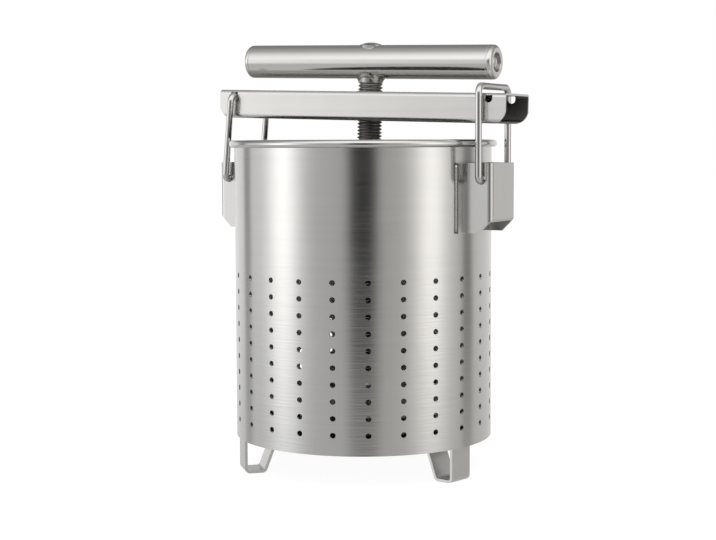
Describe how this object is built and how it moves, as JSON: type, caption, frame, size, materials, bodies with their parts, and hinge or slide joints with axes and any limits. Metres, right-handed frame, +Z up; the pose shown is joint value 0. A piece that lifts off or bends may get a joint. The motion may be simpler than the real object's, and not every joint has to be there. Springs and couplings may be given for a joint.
{
  "type": "fruit press",
  "caption": "Manual fruit press: a perforated steel barrel on strap legs, wire bails that hold a channel crossbar, and a hand screw that drives a plate down.",
  "frame": {"origin": "On the barrel's axis in the plane that the three feet stand on.", "axes": "+Z up along the barrel's axis. +X towards the lug whose bail passes over the crossbar, -X towards the lug whose bail is threaded through it. -Y is the front, which the picture shows with +X to the right."},
  "size_m": [0.2339, 0.1958, 0.3123],
  "materials": {
    "barrel_steel": "stainless sheet, fine brushing round the barrel",
    "strap_steel": "stainless strap, satin",
    "lug_steel": "stainless sheet, satin, bent",
    "wire_steel": "drawn stainless wire, bright",
    "bar_steel": "stainless channel, pale satin",
    "nut_steel": "turned stainless, plain",
    "plate_steel": "pressed stainless sheet, satin",
    "pad_bronze": "plain bronze",
    "bolt_steel": "stainless bolts",
    "screw_steel": "cut thread, plain",
    "handle_steel": "polished tube",
    "weld_steel": "weld, dulled by heat",
    "cap_steel": "polished, pressed"
  },
  "bodies": {
    "barrel": {"barrel_shell": "barrel_steel", "barrel_floor": "barrel_steel", "leg_front_right": "strap_steel", "leg_front_left": "strap_steel", "leg_rear": "strap_steel", "lug_right": "lug_steel", "lug_left": "lug_steel"},
    "right_bail": {"bail_right": "wire_steel"},
    "left_bail": {"bail_left": "wire_steel"},
    "crossbar": {"crossbar": "bar_steel", "screw_nut": "nut_steel"},
    "plate": {"press_plate": "plate_steel", "plate_hub": "plate_steel", "thrust_pad": "pad_bronze", "hub_bolts": "bolt_steel", "plate_rib_1": "plate_steel", "plate_rib_2": "plate_steel", "plate_rib_3": "plate_steel", "plate_rib_4": "plate_steel"},
    "screw": {"screw_spindle": "screw_steel", "handle_tube": "handle_steel", "handle_weld": "weld_steel", "handle_cap_right": "cap_steel", "handle_cap_left": "cap_steel"}
  },
  "joints": [
    {"name": "right_bail_swing", "type": "hinge", "parent": "barrel", "child": "right_bail", "pos_m": [0.1039, 0, 0.2121], "axis": [0, 1, 0], "range_deg": [-13, 184]},
    {"name": "left_bail_swing", "type": "hinge", "parent": "barrel", "child": "left_bail", "pos_m": [-0.1039, 0, 0.2121], "axis": [0, -1, 0], "range_deg": [0, 5.3]},
    {"name": "crossbar_swing", "type": "hinge", "parent": "left_bail", "child": "crossbar", "pos_m": [-0.09811, 0, 0.27444], "axis": [0, -1, 0], "range_deg": [-5.3, 0]},
    {"name": "plate_travel", "type": "slide", "parent": "crossbar", "child": "plate", "axis": [0.0297, 0, 0.9996], "range_m": [0, 0.18]},
    {"name": "screw_spin", "type": "hinge", "parent": "plate", "child": "screw", "pos_m": [0.00264, 0, 0.14995], "axis": [0.0297, 0, 0.9996], "range_deg": [0, 25920]}
  ],
  "couplings": [
    {"joint": "crossbar_swing", "follows": "left_bail_swing", "ratio": -1},
    {"joint": "plate_travel", "follows": "screw_spin", "m_per_rad": 0.00039788}
  ]
}
